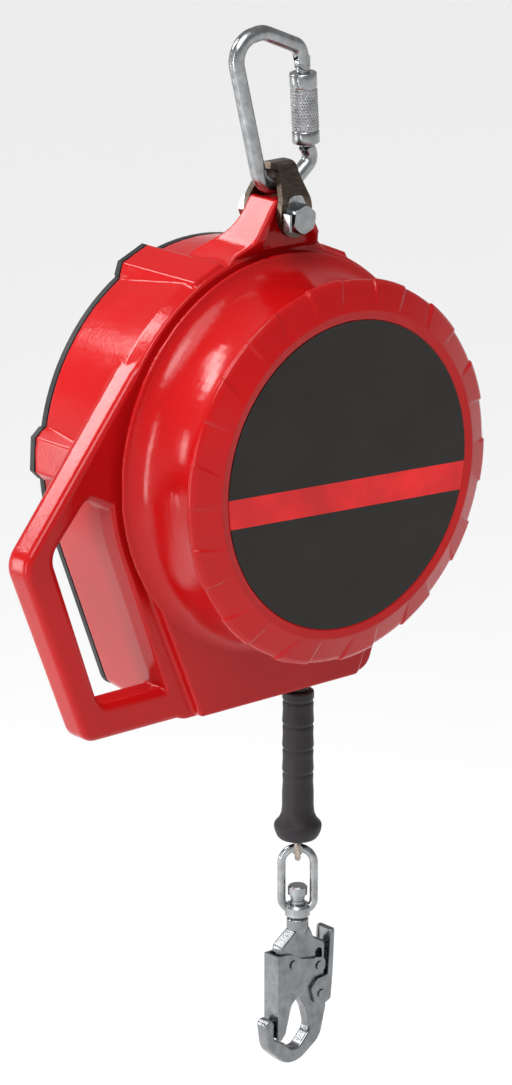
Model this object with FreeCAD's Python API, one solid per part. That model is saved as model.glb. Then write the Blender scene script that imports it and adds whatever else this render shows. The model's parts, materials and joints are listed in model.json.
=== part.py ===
"""Self retracting lifeline: a sealed wire rope retractor that hangs from a twist-lock carabiner.

Working frame while modelling, in mm: the drum axis is the Y axis, the front (label) side faces -Y,
Z is up. Every node is moved by -ANCHOR on export, so the stored origin is the anchorage point
inside the top of the carabiner.
"""
import FreeCAD, Part
import math
import os

V = FreeCAD.Vector
os.makedirs("parts", exist_ok=True)

# ---------------------------------------------------------------- driving dimensions, mm
ANCHOR = V(-8.0, 84.0, 296.6)      # inside top of the carabiner bow
MID_Y = 84.0                       # plane of the carabiner, strap, lug and lifeline
FIT = 0.1                          # radial clearance of a running fit
GAP = 0.4                          # clearance between bodies that do not touch

# housing
BODY_R = 148.5                     # drum housing at its front shoulder
PARTING_R = 150.0                  # the same at the mould's parting line
BODY_REAR_R = 143.6                # and at the rear plate: both sides have casting draft
BODY_HALF_W = 91.0                 # half width of the base at its lowest edge
REAR_HALF_W = 86.7
BASE_Z = -182.5                    # underside of the base
BASE_REAR_Z = -178.5               # underside at the rear plate
STEP_R = 139.0                     # inset front layer
STEP_HALF_W = 75.0
STEP_BASE_Z = -181.2
WALL = 9.0
FRONT_Y = 72.0                     # front face of the inset layer
SHOULDER_Y = 80.0                  # front face of the main layer
PARTING_Y = 94.0
SEAL_T = 0.8
REAR_Y = 163.0                     # rear face of the casting
PLATE_T = 4.6
BOSS_ANGLES = (3.0, 67.0, 113.0, 177.0)
BASE_SCREWS = ((66.0, -166.0), (-66.0, -166.0))

# front cover
COVER_LIP_R = 117.5                # inner edge of the grip pads
COVER_PADS = 14
PAD_FIRST = 173.0                  # angle of the first raised pad
LABEL_R = 110.6
LABEL_T = 1.4
BAND_TILT = 3.0                    # degrees, clockwise from the front
BAND_Z = (-24.5, -3.5)

# drum, shaft and brake
SHAFT_R = 10.0
DRUM_Y = (64.0, 104.0)
DRUM_FLANGE_T = 3.5
DRUM_R = 115.0
HUB_R = 62.0
WIND_R = 97.6                      # outside of the stored rope
ROPE_R = 2.4
LINE_R = WIND_R + GAP + ROPE_R     # radius the rope runs off at
RATCHET_TEETH = 12
RATCHET_R = (30.0, 37.0)
PAWL_PIN = (54.5, 19.8)

# anchor strap and lug
BOLT_X = 6.4
BOLT_Z = 172.6
BOLT_R = 6.0
STRAP_T = 5.0
STRAP_HALF = 20.2                  # half of the outside width over the legs
STRAP_END_R = 14.2
STRAP_CREST = 38.0                 # above the bolt axis
LUG_Y = (70.0, 98.0)
LUG_TOP = 185.8
LUG_WEB_Y = (78.0, 90.0)
HANDLE_T = 27.0                    # depth of the handle bar

# carabiner
BAR_R = 5.6
BAR_Z = 192.8                      # centre of the lower bar
GATE_TOP = V(29.0, MID_Y, 277.5)   # gate pivot
GATE_END = V(32.9, MID_Y, 217.6)
GATE_R = 5.0
SLEEVE_R = 9.8

# lifeline end
LINE_X = 26.7
OUTLET_Z = -184.6
GUIDE_R = 8.0
GUIDE_FLANGE_R = 9.4
BUMPER_Z = (-185.0, -300.0)
BUMPER_R = 11.7
VIEW = math.radians(-42.0)         # heading of the thimble plane, which the link faces
LINK_Z = -308.0                    # centre of the link's upper bar
LINK_ROD_R = 3.1
THIMBLE_R = 5.4                    # inside radius of the thimble
THIMBLE_T = 1.2
THIMBLE_Z = LINK_Z - LINK_ROD_R - 0.8 + THIMBLE_R
THIMBLE_SENSE = 1
LINK_HALF_W = 15.0
LINK_END_Z = -362.0                # underside of the swivel eye

# snap hook
HOOK_T = 11.0
GATE_PIN = (16.4, -396.0)
STOP_PIN = (41.9, -403.0)
LOCK_PIN = (43.7, -426.0)
CHEEK_T = 2.0


# ---------------------------------------------------------------- small helpers
def xz(point, y):
    return V(point[0], y, point[1])


def yz(point, x):
    return V(x, point[0], point[1])


def rounded_edges(points, radii, closed=True):
    """Straight edges joined by tangent arcs; points are vectors in one plane."""
    count = len(points)
    if not isinstance(radii, (list, tuple)):
        radii = [radii] * count
    entry, leave, arcs = [], [], []
    for i, point in enumerate(points):
        at_end = not closed and i in (0, count - 1)
        if radii[i] <= 0 or at_end:
            entry.append(point)
            leave.append(point)
            arcs.append(None)
            continue
        back = (points[i - 1] - point).normalize()
        ahead = (points[(i + 1) % count] - point).normalize()
        half = back.getAngle(ahead) / 2
        reach = radii[i] / math.tan(half)
        middle = (back + ahead).normalize()
        centre = point + middle * (radii[i] / math.sin(half))
        entry.append(point + back * reach)
        leave.append(point + ahead * reach)
        arcs.append(centre - middle * radii[i])
    edges = []
    for i in range(count):
        if arcs[i] is not None:
            edges.append(Part.Arc(entry[i], arcs[i], leave[i]).toShape())
        if not closed and i == count - 1:
            break
        following = (i + 1) % count
        if (entry[following] - leave[i]).Length > 1e-6:
            edges.append(Part.makeLine(leave[i], entry[following]))
    return edges


def rounded_wire(points, radii, closed=True):
    return Part.Wire(rounded_edges(points, radii, closed))


def plate(points, y0, y1, radii=0):
    """Prism of an XZ outline between two Y planes."""
    wire = rounded_wire([xz(p, y0) for p in points], radii)
    return Part.Face(wire).extrude(V(0, y1 - y0, 0))


def tube_y(r, y0, y1, x=0.0, z=0.0, hole=0.0):
    """Cylinder along Y, bored if hole is given."""
    solid = Part.makeCylinder(r, y1 - y0, V(x, y0, z), V(0, 1, 0))
    if hole:
        solid = solid.cut(Part.makeCylinder(hole, y1 - y0, V(x, y0, z), V(0, 1, 0)))
    return solid


def tube_z(r, z0, z1, x=0.0, y=0.0, hole=0.0):
    """Cylinder along Z, bored if hole is given."""
    low, high = min(z0, z1), max(z0, z1)
    solid = Part.makeCylinder(r, high - low, V(x, y, low))
    if hole:
        solid = solid.cut(Part.makeCylinder(hole, high - low, V(x, y, low)))
    return solid


def rod(r, start, end):
    return Part.makeCylinder(r, (end - start).Length, start, end - start)


def spin_y(profile, centre=V(0, 0, 0)):
    """Solid of revolution about the drum axis from (radius, y) pairs."""
    points = [V(r, y, 0) for r, y in profile]
    face = Part.Face(Part.makePolygon(points + points[:1]))
    solid = face.revolve(V(0, 0, 0), V(0, 1, 0), 360)
    solid.translate(centre)
    return solid


def spin_z(profile, x, y):
    """Solid of revolution about a vertical axis from (radius, z) pairs."""
    points = [V(r, 0, z) for r, z in profile]
    face = Part.Face(Part.makePolygon(points + points[:1]))
    solid = face.revolve(V(0, 0, 0), V(0, 0, 1), 360)
    solid.translate(V(x, y, 0))
    return solid


def pipe(points, bend, r):
    """Round bar along a rounded open path."""
    path = rounded_wire(points, bend, closed=False)
    first = path.Edges[0]
    start = first.valueAt(first.FirstParameter)
    profile = Part.Wire(Part.makeCircle(r, start, first.tangentAt(first.FirstParameter)))
    return path.makePipeShell([profile], True, True)


def polar(r, degrees):
    angle = math.radians(degrees)
    return (r * math.cos(angle), r * math.sin(angle))


def turned(shape, degrees, centre=V(0, 0, 0), axis=V(0, 1, 0)):
    copy = shape.copy()
    copy.rotate(centre, axis, degrees)
    return copy


def fuse(shapes):
    whole = shapes[0]
    if len(shapes) > 1:
        whole = whole.fuse(shapes[1:])
    return whole.removeSplitter()


def soften(shape, radius, wanted):
    """Fillet the edges that the test function accepts."""
    edges = [edge for edge in shape.Edges if wanted(edge)]
    return shape.makeFillet(radius, edges)


def level(edge):
    """True for an edge that lies in a plane of constant Y."""
    return abs(edge.BoundBox.YLength) < 1e-4


def on_plane_y(y):
    return lambda edge: level(edge) and abs(edge.Vertexes[0].Point.y - y) < 1e-4


def save(node, *solids):
    shape = solids[0] if len(solids) == 1 else Part.makeCompound(list(solids))
    shape = shape.copy()
    shape.translate(V(0, 0, 0) - ANCHOR)
    shape.exportStep("parts/%s.step" % node)


# ---------------------------------------------------------------- housing castings
def body_outline(r, half_w, bottom, y, corner):
    """Circle over a base: tangent flanks down to two rounded corners."""
    reach = math.hypot(half_w, bottom)
    to_corner = math.atan2(bottom, half_w)
    tangent = to_corner + math.acos(r / reach)
    tx, tz = r * math.cos(tangent), r * math.sin(tangent)
    base = rounded_edges(
        [V(tx, y, tz), V(half_w, y, bottom), V(-half_w, y, bottom), V(-tx, y, tz)],
        corner, closed=False)
    arch = Part.Arc(V(-tx, y, tz), V(0, y, r), V(tx, y, tz)).toShape()
    return Part.Wire(base + [arch])


def body_plate(r, half_w, bottom, y0, y1, corner=14.0):
    return Part.Face(body_outline(r, half_w, bottom, y0, corner)).extrude(V(0, y1 - y0, 0))


def body_taper(front, rear, y0, y1, corner=14.0):
    """Drafted body between two (radius, half width, bottom) outlines."""
    wires = [body_outline(*front, y0, corner), body_outline(*rear, y1, corner)]
    return Part.makeLoft(wires, True, True)


def boss(angle, y0, y1):
    """Trapezoid rib on the wall that carries one rear screw."""
    points = [polar(137.0, angle - 8.0), polar(145.5, angle - 7.4), polar(152.0, angle - 4.6),
              polar(152.0, angle + 4.6), polar(145.5, angle + 7.4), polar(137.0, angle + 8.0)]
    return plate(points, y0, y1)


def neck():
    """Round neck between the front cover and the body, flared where it meets the plateau."""
    curve = Part.BSplineCurve()
    curve.interpolate([V(131.5, 15, 0), V(129.2, 22, 0), V(128.2, 34, 0), V(129.4, 48, 0),
                       V(132.6, 60, 0), V(138.0, 68.5, 0), V(146.0, 72.2, 0)])
    corners = [V(146.0, 72.2, 0), V(146.0, 74, 0), V(100, 74, 0), V(100, 15, 0), V(131.5, 15, 0)]
    edges = [curve.toShape()]
    for a, b in zip(corners, corners[1:]):
        edges.append(Part.makeLine(a, b))
    return Part.Face(Part.Wire(edges)).revolve(V(0, 0, 0), V(0, 1, 0), 360)


def handle():
    """Carrying handle cast on the left side, level with the front shoulder."""
    outer = [(-100, 108), (-127, 80.5), (-227, -42.5), (-173.2, -181.3), (-80, -181.3), (-80, 60)]
    loop = plate(outer, SHOULDER_Y, SHOULDER_Y + HANDLE_T, [0, 24, 20, 13, 0, 0])
    outside = [e for e in loop.Edges if level(e) and e.BoundBox.XMin < -82 and e.BoundBox.ZMax < 109]
    front = [e for e in outside if e.Vertexes[0].Point.y < SHOULDER_Y + 1]
    loop = loop.makeFillet(5.0, [e for e in front if e.BoundBox.XMax < -99])
    rear = [e for e in loop.Edges if level(e) and e.BoundBox.XMax < -99 and e.Vertexes[0].Point.y > 106]
    loop = loop.makeFillet(9.0, rear)
    window = [(-140, -19.0), (-169.5, -4.5), (-200.5, -39.0), (-160.0, -156.0), (-70, -156.0), (-110, -60)]
    tool = plate(window, SHOULDER_Y - 5, SHOULDER_Y + HANDLE_T + 5, [0, 4, 14, 11, 0, 0])
    opened = loop.cut(tool)
    inner = [e for e in opened.Edges
             if level(e) and e.BoundBox.XMin > -201.5 and e.BoundBox.XMax < -99.0
             and -157 < e.BoundBox.ZMin and e.BoundBox.ZMax < -4.0 and e.BoundBox.DiagonalLength > 1.0]
    return opened.makeFillet(6.5, inner)


def lug():
    """Pedestal for the anchor bolt: a web between two side walls, ramped into the casting."""
    outline = [(-62, 118), (-43, 142), (-27.5, 155.5), (-7.2, LUG_TOP), (19.0, LUG_TOP), (34.5, 156.5),
               (48, 141.5), (64, 118)]
    side = [(LUG_Y[0], 200), (LUG_Y[1], 200), (LUG_Y[1], 166.0), (124.0, 146.0), (124.0, 118.0),
            (SHOULDER_Y + 1, 118.0), (SHOULDER_Y + 1, 146.5), (LUG_Y[0], 157.0)]
    edges = rounded_edges([yz(p, -90) for p in side], [0, 0, 24, 0, 0, 0, 3, 3])
    ramp = Part.Face(Part.Wire(edges)).extrude(V(180, 0, 0))
    block = plate(outline, 60.0, 130.0, [0, 20, 14, 2.0, 2.0, 14, 20, 0]).common(ramp)
    block = soften(block, 1.4, lambda e: level(e) and e.BoundBox.ZMin > 156.9
                   and abs(e.Vertexes[0].Point.y - LUG_Y[0]) < 1e-3)
    recess = [(-3.4, 200), (-3.4, 186.0), (-17.5, 157.0), (-13.0, 151.0), (30.0, 149.0), (27.5, 158.0),
              (15.4, 186.0), (15.4, 200)]
    radii = [0, 0, 2, 3, 3, 2, 0, 0]
    front = plate(recess, 55.0, LUG_WEB_Y[0], radii)
    rear = plate([(x, max(z, 153.0)) for x, z in recess], LUG_WEB_Y[1], 128.0, 0)
    hub = tube_y(11.0, LUG_Y[0] - 0.8, LUG_Y[1] + 0.8, BOLT_X, BOLT_Z)
    return fuse([block.cut(front).cut(rear), hub])


def main_housing():
    """One casting: drum chamber open to the rear, inset layer, neck, lug, handle and ribs."""
    corner = 14.0
    step = soften(body_plate(STEP_R, STEP_HALF_W, STEP_BASE_Z, FRONT_Y, SHOULDER_Y + 4, 4.0),
                  1.8, on_plane_y(FRONT_Y))
    front = body_taper((BODY_R, BODY_HALF_W, BASE_Z), (PARTING_R, BODY_HALF_W + 1.5, BASE_Z - 1.0),
                       SHOULDER_Y, PARTING_Y, corner)
    front = soften(front, 1.8, on_plane_y(SHOULDER_Y))
    rear = body_taper((PARTING_R, BODY_HALF_W + 1.5, BASE_Z - 1.0), (BODY_REAR_R, REAR_HALF_W, BASE_REAR_Z),
                      PARTING_Y, REAR_Y, corner)
    ribs = [soften(boss(a, SHOULDER_Y + 3, REAR_Y), 1.0, on_plane_y(SHOULDER_Y + 3)) for a in BOSS_ANGLES]
    solid = fuse([front, rear, step, neck(), lug(), handle()] + ribs)
    solid = solid.cut(tube_y(120.0, 10, REAR_Y)).cut(tube_y(128.0, FRONT_Y - 4, SHOULDER_Y + 6))
    shallow = body_plate(STEP_R - WALL, STEP_HALF_W - 7.0, BASE_Z + WALL, FRONT_Y + 7.5, REAR_Y, 8.0)
    chamber = body_taper((BODY_R - WALL, BODY_HALF_W - WALL, BASE_Z + WALL),
                         (BODY_REAR_R - WALL, REAR_HALF_W - WALL, BASE_REAR_Z + WALL),
                         SHOULDER_Y + 8, REAR_Y, 9.0)
    solid = solid.cut(shallow).cut(chamber)
    solid = fuse([solid] + [pad.cut(tube_y(120.0, 10, REAR_Y)) for pad in screw_pads(REAR_Y - 30, REAR_Y)])
    solid = solid.cut(tube_y(BOLT_R + FIT, 50, 120, BOLT_X, BOLT_Z))
    solid = solid.cut(tube_z(GUIDE_R + 0.05, -200.0, -120.0, LINE_X, MID_Y))
    solid = solid.cut(tube_z(GUIDE_FLANGE_R + 0.2, -175.0, -150.0, LINE_X, MID_Y))
    for spot in screw_spots():
        solid = solid.cut(tube_y(2.5, REAR_Y - 22, REAR_Y, *spot))
    return solid


def screw_spots():
    return [polar(144.6, a) for a in BOSS_ANGLES] + [tuple(p) for p in BASE_SCREWS]


def screw_pads(y0, y1):
    """Solid columns inside the wall that carry the rear screws."""
    return [tube_y(7.0, y0, y1, *spot) for spot in screw_spots()[:4]] + \
        [tube_y(8.0, y0, y1, *spot) for spot in BASE_SCREWS]


def rear_plate():
    y0 = REAR_Y + SEAL_T
    y1 = y0 + PLATE_T
    disc = body_plate(BODY_REAR_R, REAR_HALF_W, BASE_REAR_Z, y0, y1, 14.0)
    hub = tube_y(24.0, 146.0, y0, hole=SHAFT_R)
    solid = fuse([disc, hub] + [boss(a, y0, y1) for a in BOSS_ANGLES])
    for spot in screw_spots():
        solid = solid.cut(tube_y(3.3, y0, y1, *spot))
        solid = solid.cut(countersink(spot, y1))
    return solid


def countersink(spot, y1):
    return Part.makeCone(3.3, 6.6, 3.3, V(spot[0], y1 - 3.3, spot[1]), V(0, 1, 0))


def rear_seal():
    y0, y1 = REAR_Y, REAR_Y + SEAL_T
    ring = body_plate(BODY_REAR_R - 0.8, REAR_HALF_W - 0.8, BASE_REAR_Z + 0.8, y0, y1, 13.0)
    hole = body_plate(BODY_REAR_R - WALL + 1, REAR_HALF_W - WALL + 1, BASE_REAR_Z + WALL - 1, y0, y1, 9.0)
    solid = ring.cut(hole)
    for spot in screw_spots():
        solid = solid.cut(tube_y(3.4, y0, y1, *spot))
    return solid


def cover_screw(spot):
    """Countersunk socket screw from the rear plate into the casting."""
    y1 = REAR_Y + SEAL_T + PLATE_T - 0.2
    head = Part.makeCone(3.0, 6.2, 3.0, V(spot[0], y1 - 3.0, spot[1]), V(0, 1, 0))
    shank = tube_y(2.45, REAR_Y - 20, y1 - 2.9, *spot)
    corners = [polar(2.3, 60 * k) for k in range(6)]
    socket = plate([(spot[0] + x, spot[1] + z) for x, z in corners], y1 - 2.2, y1)
    return fuse([head, shank]).cut(socket)


# ---------------------------------------------------------------- front cover and label
def pad_outline(middle):
    """Skewed outline of one raised pad, wider at the rim than at the label."""
    rim = 145.0
    return [polar(rim, middle - 6.9), polar(rim, middle + 6.9), polar(COVER_LIP_R - 0.5, middle + 7.6),
            polar(COVER_LIP_R - 0.5, middle - 2.2)]


def front_cover():
    """Cover ring: a dished band round the label, a sloped rim with raised pads, and the front bearing hub."""
    rim_back = [(136.0, 14.8), (COVER_LIP_R, 14.8)]
    low = spin_y([(COVER_LIP_R, -0.9), (134.4, 7.6), (136.9, 9.6), (137.6, 11.4)] + rim_back)
    high = spin_y([(COVER_LIP_R, -0.9), (135.4, 6.4), (138.2, 8.8), (138.9, 11.2)] + rim_back)
    pads = []
    for k in range(COVER_PADS):
        tool = plate(pad_outline(PAD_FIRST + k * 360.0 / COVER_PADS), -3.0, 15.0)
        pads.append(high.common(tool))
    solid = low.fuse(pads)
    disc = spin_y([(24.0, LABEL_T), (LABEL_R + 0.3, LABEL_T), (LABEL_R + 0.3, 0.2), (COVER_LIP_R, -0.9),
                   (COVER_LIP_R + 2.0, 0.4), (COVER_LIP_R + 2.0, 26.0), (112.0, 26.0), (112.0, 6.2),
                   (24.0, 6.2)])
    hub = tube_y(24.0, LABEL_T, 30.0)
    return solid.fuse([disc, hub]).removeSplitter().cut(tube_y(SHAFT_R, 12.0, 31.0))


def band_box(grow, y0, y1):
    low, high = BAND_Z
    box = Part.makeBox(300, y1 - y0, high - low + 2 * grow, V(-150, y0, low - grow))
    return turned(box, BAND_TILT)


def label_plate():
    disc = tube_y(LABEL_R, 0.0, LABEL_T)
    return disc.cut(band_box(0.05, -1.0, 0.6))


def label_band():
    return tube_y(LABEL_R, 0.0, 0.6).common(band_box(0.0, -1.0, 0.6))


# ---------------------------------------------------------------- shaft, drum, brake, spring
def drum_shaft():
    bar = tube_y(SHAFT_R - 0.02, 12.4, 162.0)
    collar = tube_y(30.0, 60.6, 63.2)
    thread = tube_y(SHAFT_R + 1.0, 33.0, 60.6)
    return fuse([bar, collar, thread])


def drum():
    y0, y1 = DRUM_Y
    hub = tube_y(HUB_R, y0, y1).cut(tube_y(HUB_R - 6.0, y0 + 9.0, y1 - 9.0, hole=26.0))
    flanges = [tube_y(DRUM_R, y0, y0 + DRUM_FLANGE_T), tube_y(DRUM_R, y1 - DRUM_FLANGE_T, y1)]
    body = fuse([hub] + flanges)
    for k in range(6):
        cx, cz = polar(42.0, 60 * k + 30)
        body = body.cut(tube_y(8.0, y0 + 12, y1 + 1, cx, cz))
    return body.cut(tube_y(13.0, y0, y1))


def drum_bushing(y0, y1):
    return tube_y(13.0, y0, y1, hole=SHAFT_R - 0.02 + 0.08)


def rope_winding():
    """Stored rope in level layers: the outside turns show as rounded ridges."""
    y0 = DRUM_Y[0] + DRUM_FLANGE_T
    turns = 6
    pitch = (DRUM_Y[1] - DRUM_Y[0] - 2 * DRUM_FLANGE_T) / turns
    edges = []
    for k in range(turns):
        start = y0 + k * pitch
        edges.append(Part.Arc(V(WIND_R - 1.6, start, 0), V(WIND_R, start + pitch / 2, 0),
                              V(WIND_R - 1.6, start + pitch, 0)).toShape())
    y1 = y0 + turns * pitch
    for a, b in ((V(WIND_R - 1.6, y1, 0), V(HUB_R, y1, 0)), (V(HUB_R, y1, 0), V(HUB_R, y0, 0)),
                 (V(HUB_R, y0, 0), V(WIND_R - 1.6, y0, 0))):
        edges.append(Part.makeLine(a, b))
    return Part.Face(Part.Wire(edges)).revolve(V(0, 0, 0), V(0, 1, 0), 360)


def ratchet_wheel():
    """Brake wheel whose steep tooth faces stop a pawl that turns with the paying-out drum."""
    points = []
    pitch = 360.0 / RATCHET_TEETH
    for k in range(RATCHET_TEETH):
        foot = k * pitch - 10.0
        points.append(polar(RATCHET_R[0], foot))
        points.append(polar(RATCHET_R[0] + 0.5, foot + 2.0))
        points.append(polar(RATCHET_R[1] - 1.0, foot + pitch - 7.0))
        points.append(polar(RATCHET_R[1], foot + pitch - 2.0))
    return plate(points, 50.4, 57.4).cut(tube_y(SHAFT_R + 1.3, 50, 58))


def friction_disc(y0, y1):
    return tube_y(28.0, y0, y1, hole=SHAFT_R + 1.2)


def brake_nut():
    points = [polar(20.0, 60 * k) for k in range(6)]
    return plate(points, 34.0, 42.6).cut(tube_y(SHAFT_R + 1.02, 33, 43))


def pawl(side):
    """Centrifugal pawl on the drum's front flange; side 0 or 1 sets the half turn."""
    points = [(42.1, -8.9), (46.6, -8.2), (61.0, 14.0), (60.5, 26.0), (57.0, 42.0), (47.0, 42.0),
              (46.5, 28.0), (48.0, 16.0)]
    body = plate(points, 50.6, 57.2, [0.5, 2, 6, 6, 4, 4, 6, 6])
    return turned(body.cut(tube_y(3.6, 50, 58, *PAWL_PIN)), 180 * side)


def pawl_pin(side):
    pin = tube_y(3.5, 49.6, DRUM_Y[0], *PAWL_PIN).fuse(tube_y(5.4, 48.2, 49.8, *PAWL_PIN))
    return turned(pin.removeSplitter(), 180 * side)


def pawl_stop(side):
    """Post that the resting pawl leans on."""
    return turned(tube_y(2.5, 51.0, DRUM_Y[0], 43.4, 35.5), 180 * side)


def power_spring():
    """Flat spiral spring that rewinds the drum: half turns about two centres."""
    half_turns, start, growth, strip = 22, 27.0, 2.8, 1.4
    y0, y1 = 114.0, 140.0

    def half_turn(k, extra):
        r = start + k * growth + extra
        centre = growth if k % 2 else 0.0
        sign = -1 if k % 2 else 1
        ends = V(centre + sign * r, y0, 0), V(centre - sign * r, y0, 0)
        return Part.Arc(ends[0], V(centre, y0, sign * r), ends[1]).toShape()

    inner = [half_turn(k, 0.0) for k in range(half_turns)]
    outer = [half_turn(k, strip) for k in range(half_turns)]
    last = half_turns - 1
    r = start + last * growth
    end = growth + r if last % 2 else -r
    caps = [Part.makeLine(V(start, y0, 0), V(start + strip, y0, 0)),
            Part.makeLine(V(end, y0, 0), V(end + strip if last % 2 else end - strip, y0, 0))]
    wire = Part.Wire(Part.__sortEdges__(inner + outer + caps))
    return Part.Face(wire).extrude(V(0, y1 - y0, 0))


def spring_case():
    cup = tube_y(98.0, 110.2, 146.0, hole=92.6)
    floor = tube_y(98.0, 142.6, 146.0, hole=SHAFT_R)
    lid = tube_y(98.0, 110.2, 112.6, hole=26.5)
    return fuse([cup, floor, lid])


def spring_arbor():
    return tube_y(24.0, 104.0, 141.0, hole=SHAFT_R + 0.6)


# ---------------------------------------------------------------- anchor strap group
def anchor_strap():
    """Bent flat bar whose legs straddle the lug, with an arch for the carabiner."""
    crest = BOLT_Z + STRAP_CREST
    low = BOLT_Z - STRAP_END_R

    def half_profile(inset):
        y = STRAP_HALF - inset
        return [(-y, low), (-y, crest - 25.0), (-8.8 + inset * 0.55, crest - inset),
                (8.8 - inset * 0.55, crest - inset), (y, crest - 25.0), (y, low)]

    outer = half_profile(0.0)
    inner = half_profile(STRAP_T)
    x0 = BOLT_X - STRAP_END_R

    def prism(profile, radii):
        points = [yz((MID_Y + p[0], p[1]), x0) for p in profile]
        return Part.Face(rounded_wire(points, radii)).extrude(V(2 * STRAP_END_R, 0, 0))

    open_foot = [(y, z - (5 if z == low else 0)) for y, z in inner]
    band = prism(outer, [0, 14, 9, 9, 14, 0]).cut(prism(open_foot, [0, 9, 4, 4, 9, 0]))
    face = [(BOLT_X - 8.8, crest + 1), (BOLT_X - 8.8, crest - 9), (BOLT_X - STRAP_END_R, crest - 30),
            (BOLT_X - STRAP_END_R, low), (BOLT_X + STRAP_END_R, low), (BOLT_X + STRAP_END_R, crest - 30),
            (BOLT_X + 8.8, crest - 9), (BOLT_X + 8.8, crest + 1)]
    radii = [0, 20, 24, STRAP_END_R - 0.01, STRAP_END_R - 0.01, 24, 20, 0]
    trimmed = band.common(plate(face, MID_Y - 30, MID_Y + 30, radii))
    trimmed = trimmed.cut(tube_y(BOLT_R + 0.05, 50, 120, BOLT_X, BOLT_Z))
    return trimmed.cut(tube_y(2.2, 50, MID_Y, BOLT_X - 2.0, BOLT_Z + 13.2))


def hexagon_y(flats, y0, y1, x, z, twist=0.0):
    r = flats / math.sqrt(3)
    points = [(x + r * math.cos(math.radians(60 * k + twist)), z + r * math.sin(math.radians(60 * k + twist)))
              for k in range(6)]
    return plate(points, y0, y1)


def chamfered_hex(flats, y0, y1, x, z, twist, front):
    """Hex prism with the usual turned chamfer on one end."""
    prism = hexagon_y(flats, y0, y1, x, z, twist)
    r = flats / math.sqrt(3)
    height = y1 - y0
    if front:
        profile = [(0, 0), (flats / 2 + 0.4, 0), (r + 0.1, 1.0), (r + 0.1, height), (0, height)]
    else:
        profile = [(0, 0), (r + 0.1, 0), (r + 0.1, height - 2.1), (flats / 2 - 0.2, height), (0, height)]
    return prism.common(spin_y(profile, V(x, y0, z)))


def anchor_bolt():
    face = MID_Y - STRAP_HALF - 1.6
    head = chamfered_hex(19.0, face - 7.5, face, BOLT_X, BOLT_Z, 20.0, True)
    shank = tube_y(BOLT_R, face - 0.5, MID_Y + STRAP_HALF + 14.0, BOLT_X, BOLT_Z)
    return fuse([head, shank])


def anchor_nut():
    y0 = MID_Y + STRAP_HALF + 1.6
    nut = chamfered_hex(19.0, y0, y0 + 10.0, BOLT_X, BOLT_Z, 0.0, False)
    return nut.cut(tube_y(BOLT_R, y0, y0 + 12.0, BOLT_X, BOLT_Z))


def nut_washer():
    y0 = MID_Y + STRAP_HALF
    return tube_y(12.0, y0, y0 + 1.6, BOLT_X, BOLT_Z, hole=BOLT_R + 0.05)


def tab_washer():
    """Lock washer: one tab sits in the strap's hole, the other is bent up beside the bolt head."""
    face = MID_Y - STRAP_HALF
    points = [(BOLT_X - 11.5, BOLT_Z - 9), (BOLT_X + 9.0, BOLT_Z - 11), (BOLT_X + 12, BOLT_Z),
              (BOLT_X + 3.5, BOLT_Z + 16.0), (BOLT_X - 5.5, BOLT_Z + 16.5), (BOLT_X - 12.5, BOLT_Z + 4)]
    base = plate(points, face - 1.6, face, [6, 8, 8, 4, 4, 4])
    base = base.cut(tube_y(BOLT_R + 0.05, 50, 120, BOLT_X, BOLT_Z))
    flap = Part.makeBox(2.0, 6.5, 12.0, V(BOLT_X - 13.2, face - 7.6, BOLT_Z - 7.0))
    key = tube_y(1.9, face - 0.5, face + 2.5, BOLT_X - 2.0, BOLT_Z + 13.2)
    return fuse([base, flap, key])


# ---------------------------------------------------------------- carabiner
def carabiner_path():
    return [(32.9, 217.2), (38.4, 207.8), (20.0, BAR_Z), (-9.1, BAR_Z), (-35.6, 298.4), (-8.0, 302.9),
            (25.5, 289.0), (29.0, 277.5)]


def carabiner_body():
    points = [xz(p, MID_Y) for p in carabiner_path()]
    bar = pipe(points, [0, 8, 12, 14, 17, 17, 9, 0], BAR_R)
    pivot = (GATE_TOP.x, GATE_TOP.z)
    knuckle = tube_y(5.4, MID_Y - BAR_R, MID_Y + BAR_R, *pivot).common(
        Part.makeCylinder(BAR_R, 30, V(GATE_TOP.x, MID_Y, GATE_TOP.z - 15)))
    latch = rod(SLEEVE_R + GAP, GATE_END - gate_axis() * 16.0, GATE_END + gate_axis() * GAP)
    solid = fuse([bar.cut(latch), knuckle])
    slot = Part.makeBox(14, 5.2, 12.6, V(GATE_TOP.x - 7, MID_Y - 2.6, GATE_TOP.z - 6.3))
    return solid.cut(slot).cut(tube_y(2.0, 70, 100, *pivot))


def gate_axis():
    return (GATE_END - GATE_TOP).normalize()


def carabiner_gate():
    along = gate_axis()
    bar = rod(GATE_R, GATE_TOP + along * 2.0, GATE_END)
    bar = bar.cut(tube_y(5.9, 70, 100, GATE_TOP.x, GATE_TOP.z))
    tongue = tube_y(5.2, MID_Y - 2.2, MID_Y + 2.2, GATE_TOP.x, GATE_TOP.z)
    neck_box = Part.makeBox(7.0, 4.4, 9.0, V(GATE_TOP.x - 3.3, MID_Y - 2.2, GATE_TOP.z - 9.0))
    return fuse([bar, tongue, neck_box]).cut(tube_y(2.1, 70, 100, GATE_TOP.x, GATE_TOP.z))


def carabiner_pin():
    return tube_y(2.0, MID_Y - 5.2, MID_Y + 5.2, GATE_TOP.x, GATE_TOP.z)


def carabiner_sleeve():
    along = gate_axis()
    start = GATE_TOP + along * 7.4
    end = GATE_TOP + along * 58.4
    body = rod(SLEEVE_R - 0.7, start, end)
    collars = [rod(SLEEVE_R, start, start + along * 10.5), rod(SLEEVE_R, end - along * 9.5, end)]
    knurled = rod(SLEEVE_R - 0.2, start + along * 11.5, end - along * 10.5)
    return fuse([body, knurled] + collars).cut(rod(GATE_R + FIT, GATE_TOP, GATE_END + along * 5))


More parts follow.
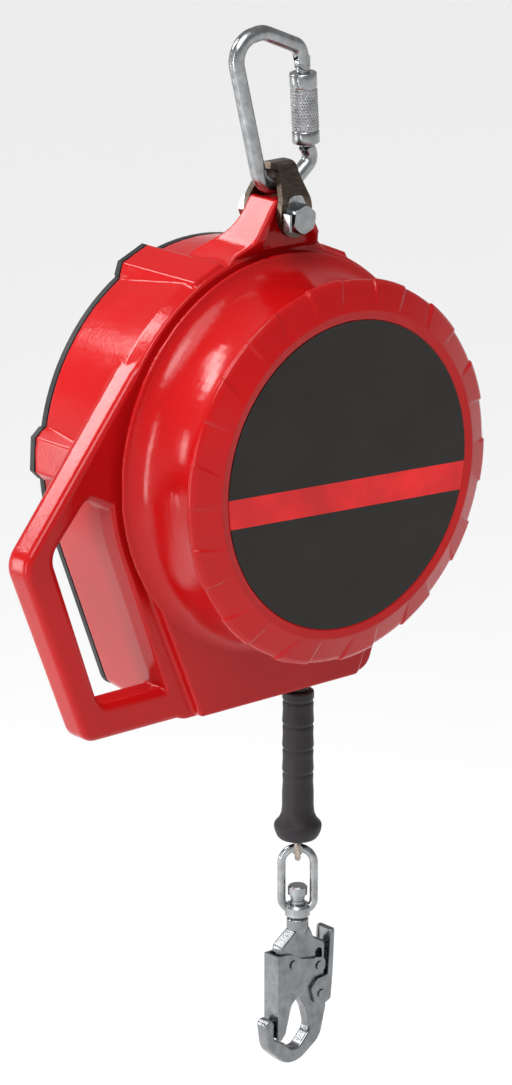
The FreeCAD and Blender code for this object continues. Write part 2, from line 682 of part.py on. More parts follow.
# ---------------------------------------------------------------- lifeline
def line_guide():
    """Funnel bushing in the base that the rope leaves through."""
    profile = [(ROPE_R + GAP, -168.0), (6.0, -163.0), (GUIDE_FLANGE_R, -163.0), (GUIDE_FLANGE_R, -173.3),
               (GUIDE_R, -173.3), (GUIDE_R, OUTLET_Z), (ROPE_R + 1.6, OUTLET_Z), (ROPE_R + GAP, OUTLET_Z + 3.0)]
    return spin_z(profile, LINE_X, MID_Y)


def line_tangent():
    """Where the rope leaves the winding on its way to the outlet."""
    target = (LINE_X, -150.0)
    reach = math.hypot(*target)
    angle = math.atan2(target[1], target[0]) + math.acos(LINE_R / reach)
    return (LINE_R * math.cos(angle), LINE_R * math.sin(angle))


def line_inside():
    """Rope from the winding to the top of the outlet funnel."""
    start = xz(line_tangent(), MID_Y)
    corner = V(LINE_X, MID_Y, -132.0)
    end = V(LINE_X, MID_Y, -154.0)
    return pipe([start, corner, end], [0, 30.0, 0], ROPE_R)


def line_run():
    """Straight rope through the outlet: the length that grows as the line pays out."""
    return tube_z(ROPE_R, -154.5, -200.0, LINE_X, MID_Y)


def bumper():
    """Rubber stop and hand grip with shallow rings and a mushroom flange."""
    top, bottom = BUMPER_Z
    points = [(ROPE_R + GAP, top), (10.2, top), (BUMPER_R, top - 1.0)]
    z = top - 6.5
    for _ in range(4):
        points += [(BUMPER_R, z), (BUMPER_R - 0.9, z - 0.9), (BUMPER_R - 0.9, z - 2.1),
                   (BUMPER_R - 0.2, z - 3.2), (BUMPER_R - 0.5, z - 9.0), (BUMPER_R - 0.1, z - 15.5)]
        z -= 18.5
    points += [(BUMPER_R, z), (BUMPER_R, bottom + 25.0), (12.3, bottom + 19.5), (14.2, bottom + 15.2),
               (16.6, bottom + 12.6), (17.5, bottom + 11.2), (17.7, bottom + 9.4), (17.1, bottom + 6.2),
               (15.6, bottom + 2.6), (14.2, bottom + 0.8), (13.0, bottom), (12.3, bottom), (12.3, bottom + 6.0),
               (8.2, bottom + 16.0), (8.2, bottom + 48.0), (ROPE_R + GAP, bottom + 50.0)]
    return spin_z(points, LINE_X, MID_Y)


def loop_direction():
    """Horizontal unit vector in the thimble's plane, towards the front left."""
    return V(math.sin(VIEW), -math.cos(VIEW), 0)


def loop_points(half, bottom, top, near):
    """Open U path in the thimble's plane: down one side, round, and up the other."""
    d = loop_direction()
    c = V(LINE_X, MID_Y, 0)
    return [c + d * near + V(0, 0, top), c + d * half + V(0, 0, bottom + 3.5), c + d * half + V(0, 0, bottom),
            c - d * half + V(0, 0, bottom), c - d * half + V(0, 0, bottom + 3.5), c - d * near + V(0, 0, top)]


def line_end():
    """Rope from inside the bumper, round the thimble and back into the ferrule."""
    half = THIMBLE_R + THIMBLE_T + ROPE_R
    points = loop_points(half, THIMBLE_Z, -280.0, ROPE_R + 0.1)
    sides = []
    for end in (points[:3], points[:2:-1]):
        sides.append(bar_along(rounded_edges(end, [0, 10, 0], closed=False), ROPE_R))
    bend = half_ring(Part.Wire(Part.makeCircle(ROPE_R, points[2], V(0, 0, 1))))
    loop = fuse([bend] + sides)
    stem = tube_z(ROPE_R, -278.0, -201.0, LINE_X, MID_Y)
    return loop, stem


def bar_along(edges, r):
    """Round bar along straight edges and arcs, one solid of revolution or cylinder for each."""
    solids = []
    for edge in edges:
        start, end = edge.valueAt(edge.FirstParameter), edge.valueAt(edge.LastParameter)
        if isinstance(edge.Curve, Part.Line):
            solids.append(rod(r, start, end))
            continue
        centre = edge.Curve.Center
        axis = (start - centre).cross(end - centre)
        disc = Part.Face(Part.Wire(Part.makeCircle(r, start, axis.cross(start - centre))))
        solids.append(disc.revolve(centre, axis, math.degrees((start - centre).getAngle(end - centre))))
    return fuse(solids)


def half_ring(wire):
    """Section at the loop's near side turned half a circle round the loop's lowest centre."""
    side = V(math.cos(VIEW), math.sin(VIEW), 0)
    centre = V(LINE_X, MID_Y, THIMBLE_Z)
    return Part.Face(wire).revolve(centre, side, THIMBLE_SENSE * 180)


def thimble():
    """Steel channel that keeps the rope loop open round the link."""
    d = loop_direction()
    side = V(math.cos(VIEW), math.sin(VIEW), 0)
    c = V(LINE_X, MID_Y, 0)

    def section(sign, z):
        near, far = THIMBLE_R + 0.05, THIMBLE_R + THIMBLE_T - 0.05
        corners = [c + d * (sign * a) + side * b + V(0, 0, z)
                   for a, b in ((near, -3.2), (far, -3.2), (far, 3.2), (near, 3.2))]
        return Part.makePolygon(corners + corners[:1])

    legs = [Part.Face(section(sign, THIMBLE_Z)).extrude(V(0, 0, 1.8)) for sign in (1, -1)]
    return fuse([half_ring(section(1, THIMBLE_Z))] + legs)


def ferrule():
    """Pressed sleeve that closes the rope loop, inside the bumper."""
    return tube_z(7.6, -278.6, -256.0, LINE_X, MID_Y).cut(tube_z(ROPE_R + 0.02, -282.0, -255.0, LINE_X, MID_Y))


# ---------------------------------------------------------------- swivel and hook
def swivel_link():
    """Forged oval link with an eye at its foot for the swivel pin."""
    side = V(math.cos(VIEW), math.sin(VIEW), 0)
    c = V(LINE_X, MID_Y, 0)
    w = LINK_HALF_W - LINK_ROD_R
    low = LINK_END_Z + 5.0
    points = [c + V(0, 0, low), c - side * w + V(0, 0, low), c - side * w + V(0, 0, LINK_Z),
              c + side * w + V(0, 0, LINK_Z), c + side * w + V(0, 0, low), c + V(0, 0, low)]
    ring = pipe(points, [0, 9, w - 0.05, w - 0.05, 9, 0], LINK_ROD_R)
    eye = spin_z([(0, LINK_END_Z), (7.6, LINK_END_Z), (9.4, LINK_END_Z + 1.6), (9.6, LINK_END_Z + 8.0),
                  (8.4, LINK_END_Z + 10.0), (0, LINK_END_Z + 10.0)], LINE_X, MID_Y)
    return fuse([ring, eye]).cut(tube_z(5.5 + FIT, LINK_END_Z - 1, LINK_END_Z + 12, LINE_X, MID_Y))


def swivel_pin():
    """Swivel stud: round head over the link's eye, turned groove, shank riveted into the hook."""
    head = LINK_END_Z + 24.5
    profile = [(0, head), (6.2, head), (7.3, head - 1.1), (7.3, head - 6.6), (5.5, head - 7.4), (5.5, head - 9.4),
               (4.7, head - 9.9), (4.7, head - 11.2), (5.5, head - 11.7), (5.5, LINK_END_Z - 8.0),
               (0, LINK_END_Z - 8.0)]
    return spin_z(profile, LINE_X, MID_Y)


def hook_plate():
    """Forged hook in one plane: shank, spine, bowl and nose."""
    outline = [(19.2, -371), (34.5, -371), (38.5, -380), (50.0, -386), (49.5, -408), (51.0, -438), (45.0, -462),
               (16.5, -480.5), (-6.5, -459), (-9.3, -438.5), (-3.6, -434.5), (0.2, -439), (0.2, -452.0),
               (10.5, -458.0), (20.0, -468.0), (35.5, -452.0), (31.5, -436.0), (22.0, -419.0), (9.0, -405.0),
               (5.0, -396.0), (6.0, -381.0)]
    radii = [2, 2, 5, 5, 30, 12, 18, 20, 16, 4, 3.5, 1.5, 1.2, 6, 9, 9, 12, 10, 5, 5, 5]
    return plate(outline, MID_Y - HOOK_T / 2, MID_Y + HOOK_T / 2, radii)


def hook_body():
    solid = hook_plate()
    solid = soften(solid, 2.0, lambda e: level(e))
    boss_part = spin_z([(0, LINK_END_Z - 0.6), (7.2, LINK_END_Z - 0.6), (8.1, LINK_END_Z - 1.6), (8.1, LINK_END_Z - 9),
                        (6.4, LINK_END_Z - 14), (0, LINK_END_Z - 14)], LINE_X, MID_Y)
    solid = fuse([solid, boss_part]).cut(tube_z(5.5, LINK_END_Z - 8.0, LINK_END_Z + 1, LINE_X, MID_Y))
    for pin in (GATE_PIN, LOCK_PIN):
        solid = solid.cut(tube_y(2.3, 70, 100, *pin))
    for k in range(0, 23, 2):
        spot = turned(tube_y(3.4, 70, 100, *STOP_PIN), -k, V(GATE_PIN[0], 0, GATE_PIN[1]))
        solid = solid.cut(spot)
    return solid


def cheeks(points, radii):
    half = HOOK_T / 2 + 0.35
    front = plate(points, MID_Y - half - CHEEK_T, MID_Y - half, radii)
    rear = plate(points, MID_Y + half, MID_Y + half + CHEEK_T, radii)
    return [front, rear]


def hook_gate():
    """Channel-shaped gate: two cheeks that straddle the hook, joined by a web on the nose side."""
    points = [(1.0, -386.5), (9.0, -386.5), (16.0, -388.2), (25.0, -393.5), (36.0, -396.0), (47.5, -397.0),
              (47.5, -408.5), (36.0, -409.5), (30.0, -413.7), (14.0, -427.5), (8.2, -449.0), (4.0, -453.5),
              (1.0, -452.5)]
    sides = cheeks(points, [0.5, 3, 5, 4, 4, 5, 5, 4, 5, 10, 4, 1.5, 1])
    half = HOOK_T / 2 + 0.35 + CHEEK_T
    web = plate([(1.0, -386.5), (3.4, -386.5), (3.4, -451.2), (1.0, -451.2)], MID_Y - half, MID_Y + half)
    solid = fuse([web] + sides)
    return solid.cut(tube_y(2.4, 70, 100, *GATE_PIN)).cut(tube_y(2.3, 70, 100, *STOP_PIN))


def hook_lock():
    """Lock lever on the spine: cheeks round its rivet and a thumb pad behind the hook."""
    back = [(56.4, -377.0), (54.8, -410.0), (52.8, -432.0)]
    points = [(52.6, -377.6)] + back + [(48.0, -434.0), (37.5, -432.5), (33.5, -419.5), (40.0, -413.2), (50.2, -412.5)]
    sides = cheeks(points, [1, 1, 20, 3, 4, 4, 4, 3, 1.5])
    half = HOOK_T / 2 + 0.35 + CHEEK_T
    pad = plate(back + [(51.6, -430.0), (52.4, -404.0), (53.0, -378.0)], MID_Y - half + 0.5, MID_Y + half - 0.5)
    return sides[0].fuse([sides[1], pad]).cut(tube_y(2.4, 70, 100, *LOCK_PIN))


def rivet(pin, r=2.3):
    half = HOOK_T / 2 + 0.35 + CHEEK_T
    shank = tube_y(r, MID_Y - half - 0.3, MID_Y + half + 0.3, *pin)
    heads = [tube_y(r + 1.1, MID_Y - half - 1.3, MID_Y - half - 0.3, *pin),
             tube_y(r + 1.1, MID_Y + half + 0.3, MID_Y + half + 1.3, *pin)]
    return fuse([shank] + heads)


# ---------------------------------------------------------------- write the nodes
save("main_housing", main_housing())
save("front_cover", front_cover())
save("label_plate", label_plate())
save("label_band", label_band())
save("rear_seal", rear_seal())
save("rear_plate", rear_plate())
save("cover_screws", *[cover_screw(spot) for spot in screw_spots()])

save("drum_shaft", drum_shaft())
save("cable_drum", drum())
save("drum_bushings", drum_bushing(66.0, 76.0), drum_bushing(92.0, 104.0))
save("rope_winding", rope_winding())
save("ratchet_wheel", ratchet_wheel())
save("friction_discs", friction_disc(57.4, 60.6), friction_disc(47.2, 50.4))
save("pressure_plate", tube_y(28.0, 44.4, 47.2, hole=SHAFT_R + 1.2))
save("disc_spring", spin_y([(SHAFT_R + 1.4, 42.6), (SHAFT_R + 1.4, 43.6), (24.0, 44.4), (24.0, 43.4)]))
save("brake_nut", brake_nut())
save("pawl_left", pawl(1))
save("pawl_right", pawl(0))
save("pawl_pins", pawl_pin(0), pawl_pin(1))
save("pawl_stops", pawl_stop(0), pawl_stop(1))
save("spring_arbor", spring_arbor())
save("power_spring", power_spring())
save("spring_case", spring_case())

save("anchor_strap", anchor_strap())
save("anchor_bolt", anchor_bolt())
save("anchor_nut", anchor_nut())
save("nut_washer", nut_washer())
save("tab_washer", tab_washer())

save("carabiner_body", carabiner_body())
save("carabiner_gate", carabiner_gate())
save("carabiner_pin", carabiner_pin())
save("carabiner_sleeve", carabiner_sleeve())

save("line_guide", line_guide())
save("line_inside", line_inside())
save("line_run", line_run())
save("line_end", *line_end())
save("ferrule", ferrule())
save("thimble", thimble())
save("bumper_grip", bumper())

save("swivel_link", swivel_link())
save("swivel_pin", swivel_pin())
save("hook_body", hook_body())
save("hook_gate", hook_gate())
save("hook_stop_rivet", rivet(STOP_PIN))
save("hook_rivets", rivet(GATE_PIN), rivet(LOCK_PIN))
save("hook_lock", hook_lock())
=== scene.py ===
import json
import math

import bmesh
import bpy
import numpy as np
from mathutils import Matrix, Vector


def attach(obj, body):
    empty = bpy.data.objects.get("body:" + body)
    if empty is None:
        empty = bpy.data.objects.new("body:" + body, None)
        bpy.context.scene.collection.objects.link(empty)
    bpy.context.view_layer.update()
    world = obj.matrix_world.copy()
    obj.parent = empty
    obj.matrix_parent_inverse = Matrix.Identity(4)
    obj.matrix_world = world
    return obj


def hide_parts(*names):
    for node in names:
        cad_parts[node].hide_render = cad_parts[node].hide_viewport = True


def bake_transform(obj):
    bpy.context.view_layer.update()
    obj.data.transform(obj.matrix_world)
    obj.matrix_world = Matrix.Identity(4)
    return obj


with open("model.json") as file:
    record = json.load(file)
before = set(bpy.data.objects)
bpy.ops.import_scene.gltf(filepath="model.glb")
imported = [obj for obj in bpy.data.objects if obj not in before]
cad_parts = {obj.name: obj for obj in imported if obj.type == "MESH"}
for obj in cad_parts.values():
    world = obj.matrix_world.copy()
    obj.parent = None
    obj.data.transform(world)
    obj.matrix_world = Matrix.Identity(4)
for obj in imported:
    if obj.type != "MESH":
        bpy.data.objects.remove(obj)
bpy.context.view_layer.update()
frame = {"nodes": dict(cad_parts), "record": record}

NODES = frame["nodes"]

# Modelling frame of part.py, in millimetres, with the drum axis at (0, y, 0). The stored origin is ANCHOR,
# the anchorage point inside the top of the carabiner.
ANCHOR = np.array([-8.0, 84.0, 296.6])
MID_Y = 84.0  # plane of the carabiner and the line
LINE_X = 26.7  # the line, to the right of the drum axis
VIEW_AZIMUTH = math.radians(-42.0)  # main view, from which the rope loop is seen edge on


def row(points):
    """Points in the modelling frame (mm) to the row frame (m)."""
    return (np.asarray(points, float).reshape(-1, 3) - ANCHOR) / 1000.0


def tinted(color, factor):
    return tuple(min(1.0, c * factor) for c in color)


# ------------------------------------------------------------------ materials
class Shader:
    """Principled material built from procedural nodes in object space."""

    def __init__(self, name, color, rough, metal=0.0, spec=0.5):
        self.mat = bpy.data.materials.new(name)
        self.mat.use_nodes = True
        self.tree = self.mat.node_tree
        self.bsdf = self.tree.nodes["Principled BSDF"]
        self.set("Base Color", (*color, 1.0))
        self.set("Roughness", rough)
        self.set("Metallic", metal)
        self.set("Specular IOR Level", spec)
        self.coord = self.tree.nodes.new("ShaderNodeTexCoord").outputs["Object"]

    def set(self, socket, value):
        self.bsdf.inputs[socket].default_value = value

    def link(self, out, socket):
        self.tree.links.new(out, self.bsdf.inputs[socket])

    def stretched(self, scale):
        node = self.tree.nodes.new("ShaderNodeMapping")
        node.inputs["Scale"].default_value = scale
        self.tree.links.new(self.coord, node.inputs["Vector"])
        return node.outputs["Vector"]

    def noise(self, scale, detail=3.0, rough=0.5, vector=None):
        node = self.tree.nodes.new("ShaderNodeTexNoise")
        node.inputs["Scale"].default_value = scale
        node.inputs["Detail"].default_value = detail
        node.inputs["Roughness"].default_value = rough
        self.tree.links.new(vector or self.coord, node.inputs["Vector"])
        return node.outputs["Fac"]

    def tone(self, fac, dark, light):
        """Colour the surface from dark to light over the middle of a noise."""
        node = self.tree.nodes.new("ShaderNodeValToRGB")
        for element, position, color in zip(node.color_ramp.elements, (0.3, 0.7), (dark, light)):
            element.position = position
            element.color = (*color, 1.0)
        self.tree.links.new(fac, node.inputs["Fac"])
        self.link(node.outputs["Color"], "Base Color")

    def roughness(self, fac, low, high):
        """Vary the roughness from low to high over the middle of a noise."""
        node = self.tree.nodes.new("ShaderNodeMapRange")
        for socket, value in (("From Min", 0.3), ("From Max", 0.7), ("To Min", low), ("To Max", high)):
            node.inputs[socket].default_value = value
        self.tree.links.new(fac, node.inputs["Value"])
        self.link(node.outputs["Result"], "Roughness")

    def bump(self, height, strength, distance, after=None):
        node = self.tree.nodes.new("ShaderNodeBump")
        node.inputs["Strength"].default_value = strength
        node.inputs["Distance"].default_value = distance
        self.tree.links.new(height, node.inputs["Height"])
        if after is not None:
            self.tree.links.new(after, node.inputs["Normal"])
        self.link(node.outputs["Normal"], "Normal")
        return node.outputs["Normal"]


def red_coat(name, base):
    """Glossy paint with a faint orange peel and a finer grain on it."""
    s = Shader(name, base, 0.16, spec=0.26)
    s.tone(s.noise(7.0), tinted(base, 0.86), tinted(base, 1.1))
    s.roughness(s.noise(40.0, 4.0), 0.12, 0.21)
    peel = s.bump(s.noise(380.0, 2.0), 0.22, 0.0005)
    s.bump(s.noise(1400.0, 2.0), 0.12, 0.0002, peel)
    return s.mat


def steel(name, base, rough, depth, coarse=60.0):
    """Plated or machined metal; coarse is the scale of its blotches and depth the strength of its grain."""
    s = Shader(name, base, rough, metal=1.0)
    s.tone(s.noise(coarse, 4.0), tinted(base, 0.72), tinted(base, 1.12))
    s.roughness(s.noise(156.0, 4.0), rough - 0.12, rough + 0.12)
    s.bump(s.noise(1560.0), depth, 0.0002)
    return s.mat


def brushed(name, base, rough, axis_scale):
    """Metal with streaks along the axis that has the smallest scale."""
    s = Shader(name, base, rough, metal=1.0)
    streak = s.noise(1.0, 5.0, 0.6, s.stretched(axis_scale))
    s.tone(streak, tinted(base, 0.6), tinted(base, 1.35))
    s.roughness(streak, rough - 0.08, rough + 0.12)
    s.bump(streak, 0.12, 0.0003)
    return s.mat


def dull(name, base, rough, grain=900.0, depth=0.2):
    """Plastic, rubber or a printed face."""
    s = Shader(name, base, rough, spec=0.28)
    s.roughness(s.noise(30.0), rough - 0.08, rough + 0.08)
    s.tone(s.noise(25.0), tinted(base, 0.8), tinted(base, 1.25))
    s.bump(s.noise(grain), depth, 0.0003)
    return s.mat


MATERIALS = {
    "red_casting": red_coat("red_casting", (0.42, 0.0045, 0.0055)),
    "black_label": dull("black_label", (0.010, 0.008, 0.006), 0.3, 500.0, 0.02),
    "red_band": dull("red_band", (0.66, 0.012, 0.014), 0.34, 500.0, 0.03),
    "black_plate": dull("black_plate", (0.025, 0.025, 0.026), 0.5),
    "seal_rubber": dull("seal_rubber", (0.012, 0.012, 0.012), 0.6),
    "zinc_steel": steel("zinc_steel", (0.36, 0.37, 0.38), 0.23, 0.35, coarse=150.0),
    "hook_steel": steel("hook_steel", (0.25, 0.26, 0.27), 0.24, 0.3, coarse=110.0),
    "strap_steel": brushed("strap_steel", (0.115, 0.088, 0.07), 0.3, (160.0, 60.0, 900.0)),
    "machined_steel": steel("machined_steel", (0.5, 0.5, 0.5), 0.28, 0.1),
    "spring_steel": steel("spring_steel", (0.2, 0.22, 0.28), 0.3, 0.1),
    "drum_alloy": steel("drum_alloy", (0.7, 0.7, 0.72), 0.35, 0.1),
    "bronze": steel("bronze", (0.6, 0.4, 0.2), 0.35, 0.1),
    "friction": dull("friction", (0.1, 0.08, 0.06), 0.8),
    "wire_rope": steel("wire_rope", (0.45, 0.39, 0.33), 0.34, 0.2),
    "grip_rubber": dull("grip_rubber", (0.02, 0.017, 0.02), 0.5, 1200.0, 0.25),
    "guide_nylon": dull("guide_nylon", (0.02, 0.02, 0.02), 0.45),
}
SLOT_OF = {part["node"]: part["material_slot"] for part in frame["record"]["subparts"]}

for name, node in NODES.items():
    node.data.materials.clear()
    node.data.materials.append(MATERIALS[SLOT_OF[name]])


def finish_mesh(mesh, slot):
    """Smooth shading and the material of a slot."""
    mesh.materials.clear()
    mesh.materials.append(MATERIALS[slot])
    mesh.polygons.foreach_set("use_smooth", [True] * len(mesh.polygons))


# ------------------------------------------------------------------ softened skins of CAD nodes
def remeshed(name, nodes, body, voxel, passes, slot):
    """One softened skin over CAD nodes: edges and inside corners get small radii. The voxel is in metres."""
    work = bmesh.new()
    for node in nodes:
        work.from_mesh(NODES[node].data)
    mesh = bpy.data.meshes.new(name)
    bmesh.ops.remove_doubles(work, verts=work.verts, dist=1e-6)
    work.to_mesh(mesh)
    work.free()
    piece = bpy.data.objects.new(name, mesh)
    bpy.context.scene.collection.objects.link(piece)
    grid = piece.modifiers.new("grid", "REMESH")
    grid.mode = "VOXEL"
    grid.voxel_size = voxel
    grid.adaptivity = 0.0
    soft = piece.modifiers.new("soft", "SMOOTH")
    soft.factor = 0.5
    soft.iterations = passes
    bpy.context.view_layer.update()
    made = bpy.data.meshes.new_from_object(piece.evaluated_get(bpy.context.evaluated_depsgraph_get()))
    piece.modifiers.clear()
    piece.data = made
    finish_mesh(made, slot)
    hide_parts(*nodes)
    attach(piece, body)


def new_piece(name, vertices, faces, slot):
    """A piece from vertices in the modelling frame."""
    mesh = bpy.data.meshes.new(name)
    mesh.from_pydata([tuple(v) for v in row(vertices)], [], faces)
    mesh.validate()
    finish_mesh(mesh, slot)
    piece = bpy.data.objects.new(name, mesh)
    bpy.context.scene.collection.objects.link(piece)
    return piece


# ------------------------------------------------------------------ twist sleeve of the carabiner
GATE_TOP = np.array([29.0, MID_Y, 277.5])
GATE_END = np.array([32.9, MID_Y, 217.6])
SLEEVE_SPAN = (7.4, 58.4)  # from the top of the gate
SLEEVE_BORE = 5.1  # radius
SLEEVE_R = 9.75
SLEEVE_SIDES = 280
KNURL_RINGS = 108
KNURL_DEPTH = 0.55
KNURL_PITCH = 2.1
KNURL_ROUND = 28  # diamonds in one turn


def sleeve_profile():
    """(distance along the sleeve, outer radius, knurl depth) rings of the turned sleeve."""
    start, end = SLEEVE_SPAN
    rings = [(start, 9.0, 0), (start + 0.7, SLEEVE_R, 0), (start + 9.9, SLEEVE_R, 0), (start + 10.5, 9.3, 0),
             (start + 11.1, 9.1, 0), (start + 11.6, 9.3, 0)]
    low, high = start + 12.2, end - 10.8
    rings += [(low + (high - low) * k / KNURL_RINGS, SLEEVE_R - 0.1, KNURL_DEPTH)
              for k in range(KNURL_RINGS + 1)]
    rings += [(end - 10.2, 9.3, 0), (end - 9.8, 9.1, 0), (end - 9.2, 9.4, 0), (end - 8.8, SLEEVE_R, 0),
              (end - 0.8, SLEEVE_R, 0), (end, 8.9, 0)]
    return rings


def knurled_sleeve():
    """The sleeve with two crossing sets of grooves, and its plain bore."""
    axis = (GATE_END - GATE_TOP) / np.linalg.norm(GATE_END - GATE_TOP)
    side = np.array([0.0, 1.0, 0.0])
    third = np.cross(axis, side)
    angles = np.arange(SLEEVE_SIDES) * 2 * math.pi / SLEEVE_SIDES

    def ring(along, radii):
        return (GATE_TOP + axis * along + np.outer(radii * np.cos(angles), side)
                + np.outer(radii * np.sin(angles), third))

    rings = []
    for along, radius, depth in sleeve_profile():
        twist = along * math.pi / KNURL_PITCH
        left = np.abs(np.sin((angles * KNURL_ROUND + twist) / 2))
        right = np.abs(np.sin((angles * KNURL_ROUND - twist) / 2))
        rings.append(ring(along, radius - depth * (1 - np.minimum(left, right)) ** 2))
    rings += [ring(along, SLEEVE_BORE) for along in reversed(SLEEVE_SPAN)]
    faces = []
    for k in range(len(rings)):
        below, above = k * SLEEVE_SIDES, ((k + 1) % len(rings)) * SLEEVE_SIDES
        for i in range(SLEEVE_SIDES):
            j = (i + 1) % SLEEVE_SIDES
            faces.append((below + i, below + j, above + j, above + i))
    piece = new_piece("twist_sleeve", np.vstack(rings), faces, "zinc_steel")
    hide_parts("carabiner_sleeve")
    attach(piece, "sleeve")


# ------------------------------------------------------------------ wire rope
ROPE_R = 2.4
STRAND_R = ROPE_R / 3.0
OUTER_STRANDS = 6
STRAND_FIT = 0.99  # leaves the strands just clear of each other
STRAND_SIDES = 8
ROPE_LAY = 17.0  # length of one turn of a strand
RUN_LAY = 5.0  # shorter, because the run is drawn out to eight times its length
ROPE_STEP = 0.8
RUN_STEP = 0.4
THIMBLE_Z = -306.5  # centre of the loop's turn
LOOP_HALF = 9.0
LOOP_TOP_Z = -280.0
STEM_Z = (-201.0, -278.0)
RUN_Z = (-154.5, -200.0)


def resampled(points, spacing):
    """Even points along a polyline, and their distances from its start."""
    points = np.asarray(points, float)
    steps = np.linalg.norm(np.diff(points, axis=0), axis=1)
    reach = np.concatenate([[0.0], np.cumsum(steps)])
    count = max(2, int(reach[-1] / spacing) + 1)
    wanted = np.linspace(0.0, reach[-1], count)
    return np.stack([np.interp(wanted, reach, points[:, k]) for k in range(3)], axis=1), wanted


def frames_along(path, seed):
    """Two unit vectors across the path at each point, carried along it without twist."""
    tangents = np.gradient(path, axis=0)
    tangents /= np.linalg.norm(tangents, axis=1)[:, None]
    normal = np.cross(tangents[0], seed)
    frames = []
    for tangent in tangents:
        normal = normal - tangent * normal.dot(tangent)
        normal /= np.linalg.norm(normal)
        frames.append((normal, np.cross(tangent, normal)))
    return frames


def spoke(pair, angle):
    """The unit vector at an angle between the two vectors of a frame."""
    return math.cos(angle) * pair[0] + math.sin(angle) * pair[1]


def strand_tube(path, radius):
    """Vertices and faces of a closed round tube along a dense path."""
    sides = STRAND_SIDES
    angles = np.arange(sides) * 2 * math.pi / sides
    rings = [[point + radius * spoke(pair, a) for a in angles]
             for point, pair in zip(path, frames_along(path, [0.31, 0.83, 0.46]))]
    faces = []
    for k in range(len(path) - 1):
        below, above = k * sides, (k + 1) * sides
        faces += [(below + i, below + (i + 1) % sides, above + (i + 1) % sides, above + i)
                  for i in range(sides)]
    last = (len(path) - 1) * sides
    faces.append(tuple(range(sides - 1, -1, -1)))
    faces.append(tuple(last + i for i in range(sides)))
    return np.array(rings).reshape(-1, 3), faces


def rope(name, route, lay, spacing):
    """Six strands laid round a core along a route."""
    centre, reach = resampled(route, spacing)
    frames = frames_along(centre, [0.2, 0.3, 0.93])
    paths = [centre]
    for k in range(OUTER_STRANDS):
        phase = 2 * math.pi * k / OUTER_STRANDS
        paths.append(np.array([c + 2 * STRAND_R * spoke(pair, phase + 2 * math.pi * s / lay)
                               for c, s, pair in zip(centre, reach, frames)]))
    vertices, faces = [], []
    for path in paths:
        start = sum(len(v) for v in vertices)
        tube, quads = strand_tube(path, STRAND_R * STRAND_FIT)
        vertices.append(tube)
        faces += [tuple(start + i for i in face) for face in quads]
    return new_piece(name, np.vstack(vertices), faces, "wire_rope")


def loop_route():
    """The rope loop: down one side of the thimble, round it and up the other, into the grip."""
    across = np.array([-math.sin(VIEW_AZIMUTH), math.cos(VIEW_AZIMUTH), 0.0])
    centre = np.array([LINE_X, MID_Y, 0.0])
    near = ROPE_R + 0.1
    knee = THIMBLE_Z + 3.5
    down = [centre + across * (near + (LOOP_HALF - near) * t ** 1.4)
            + np.array([0, 0, LOOP_TOP_Z + (knee - LOOP_TOP_Z) * t]) for t in np.linspace(0, 1, 12)]
    turn = [centre + LOOP_HALF * math.cos(a) * across + np.array([0, 0, THIMBLE_Z - LOOP_HALF * math.sin(a)])
            for a in np.linspace(0, math.pi, 40)]
    up = [np.array([2 * centre[0] - p[0], 2 * centre[1] - p[1], p[2]]) for p in reversed(down)]
    return down + turn + up


def ropes():
    """The loop and stem ride on the lifeline; the run in the outlet is baked in place."""
    loop = rope("rope_loop", loop_route(), ROPE_LAY, ROPE_STEP)
    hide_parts("line_end")
    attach(loop, "lifeline")
    stem = rope("rope_stem", [(LINE_X, MID_Y, z) for z in STEM_Z], ROPE_LAY, ROPE_STEP)
    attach(stem, "lifeline")
    run_ends = [(LINE_X, MID_Y, z) for z in RUN_Z]
    run = rope("rope_run", run_ends, RUN_LAY, RUN_STEP)
    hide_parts("line_run")
    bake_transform(run)


remeshed("housing_casting", ["main_housing"], "housing", 0.0010, 3, "red_casting")
remeshed("cover_ring", ["front_cover"], "housing", 0.0008, 2, "red_casting")
remeshed("grip", ["bumper_grip"], "lifeline", 0.0006, 6, "grip_rubber")
knurled_sleeve()
ropes()

# ------------------------------------------------------------------ stage, light, camera (metres)
HOUSING = Vector(row([0.0, 0.0, 0.0])[0])  # the drum axis at the origin of the modelling frame
FLOOR_HALF = 30.0
FLOOR_Z = -1.25
GLOW_HEIGHT = 0.22  # sine of the elevation at which the horizon's glow has faded
GLOW_HORIZON = 0.82
GLOW_ABOVE = 0.36
AREA_LIGHTS = {  # place, size, power in watts; each is aimed at the housing
    "key": ((-1.7, -1.0, 2.1), (1.0, 1.2), 24.0),
    "back_window": ((-0.75, 1.4, 1.0), (0.45, 0.8), 17.0),
    "back_strip": ((-1.5, 1.5, -0.4), (0.12, 1.1), 8.0),
    "left_card": ((-2.2, -0.05, -0.3), (0.16, 1.5), 14.0),
}
CAMERA_ELEVATION = math.radians(16.0)
CAMERA_DISTANCE = 3.2
FRAME_HEIGHT = 0.7595  # what the frame shows at that distance
AIM_RIGHT, AIM_UP = -0.0651, -0.04725  # the point aimed at, from HOUSING, across and up the view
SENSOR_MM = 36.0


def new_light(name, kind, power, toward):
    """A light that shines along the vector toward."""
    data = bpy.data.lights.new(name, kind)
    data.energy = power
    light = bpy.data.objects.new(name, data)
    bpy.context.scene.collection.objects.link(light)
    light.rotation_euler = Vector(toward).to_track_quat("-Z", "Y").to_euler()
    return light


def lights():
    sky = new_light("sky_panel", "SUN", 2.1, (0.45, 0.32, -1.0))
    sky.data.angle = math.radians(50.0)
    for name, (place, size, power) in AREA_LIGHTS.items():
        light = new_light(name, "AREA", power, HOUSING - Vector(place))
        light.data.shape = "RECTANGLE"
        light.data.size, light.data.size_y = size
        light.visible_camera = False
        light.location = place


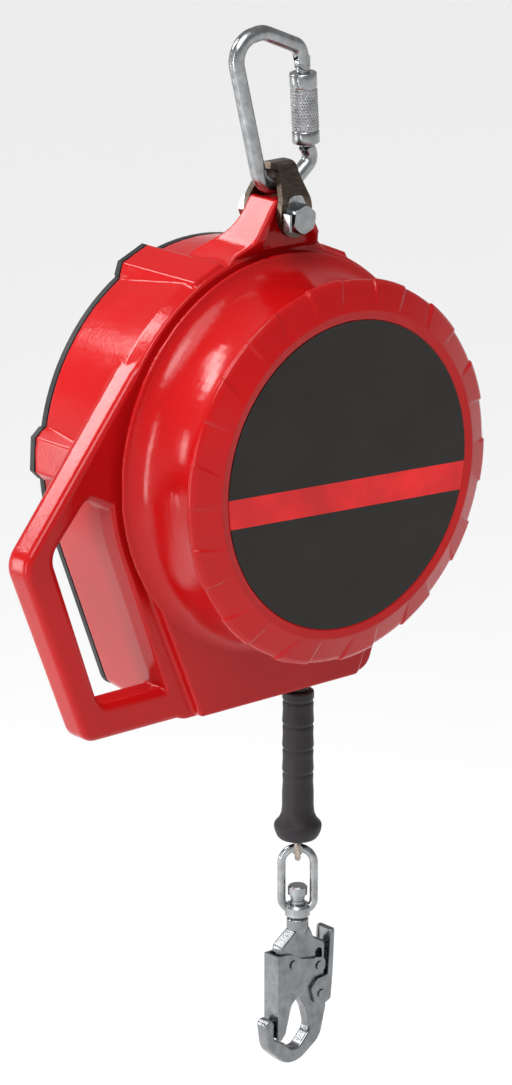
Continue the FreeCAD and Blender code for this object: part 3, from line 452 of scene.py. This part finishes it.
def floor():
    s, z = FLOOR_HALF, FLOOR_Z
    mesh = bpy.data.meshes.new("floor")
    mesh.from_pydata([(-s, -s, z), (s, -s, z), (s, s, z), (-s, s, z)], [], [(0, 1, 2, 3)])
    mesh.materials.append(Shader("floor_pale", (0.9, 0.9, 0.9), 0.8).mat)
    plane = bpy.data.objects.new("floor", mesh)
    bpy.context.scene.collection.objects.link(plane)


def studio_world():
    """White surroundings that are brighter near the horizon, where they meet the floor."""
    world = bpy.data.worlds.new("studio")
    bpy.context.scene.world = world
    world.use_nodes = True
    tree = world.node_tree
    background = tree.nodes["Background"]
    background.inputs["Color"].default_value = (1.0, 1.0, 1.0, 1.0)
    height = tree.nodes.new("ShaderNodeSeparateXYZ")
    tree.links.new(tree.nodes.new("ShaderNodeTexCoord").outputs["Generated"], height.inputs["Vector"])
    glow = tree.nodes.new("ShaderNodeMapRange")
    glow.interpolation_type = "SMOOTHSTEP"
    for socket, value in (("From Min", 0.0), ("From Max", GLOW_HEIGHT),
                          ("To Min", GLOW_HORIZON), ("To Max", GLOW_ABOVE)):
        glow.inputs[socket].default_value = value
    tree.links.new(height.outputs["Z"], glow.inputs["Value"])
    tree.links.new(glow.outputs["Result"], background.inputs["Strength"])


def camera():
    """Long lens from the front left, a little above."""
    az, el = VIEW_AZIMUTH, CAMERA_ELEVATION
    back = Vector((math.sin(az) * math.cos(el), -math.cos(az) * math.cos(el), math.sin(el)))
    right = Vector((math.cos(az), math.sin(az), 0.0))
    up = back.cross(right)
    data = bpy.data.cameras.new("camera")
    data.lens = SENSOR_MM * CAMERA_DISTANCE / FRAME_HEIGHT
    data.sensor_width = SENSOR_MM
    data.clip_end = 200.0
    cam = bpy.data.objects.new("camera", data)
    bpy.context.scene.collection.objects.link(cam)
    cam.location = HOUSING + back * CAMERA_DISTANCE
    look = right * AIM_RIGHT + up * AIM_UP - back * CAMERA_DISTANCE
    cam.rotation_euler = look.to_track_quat("-Z", "Y").to_euler()
    bpy.context.scene.camera = cam


floor()
studio_world()
lights()
camera()
bpy.context.scene.view_settings.view_transform = "Standard"
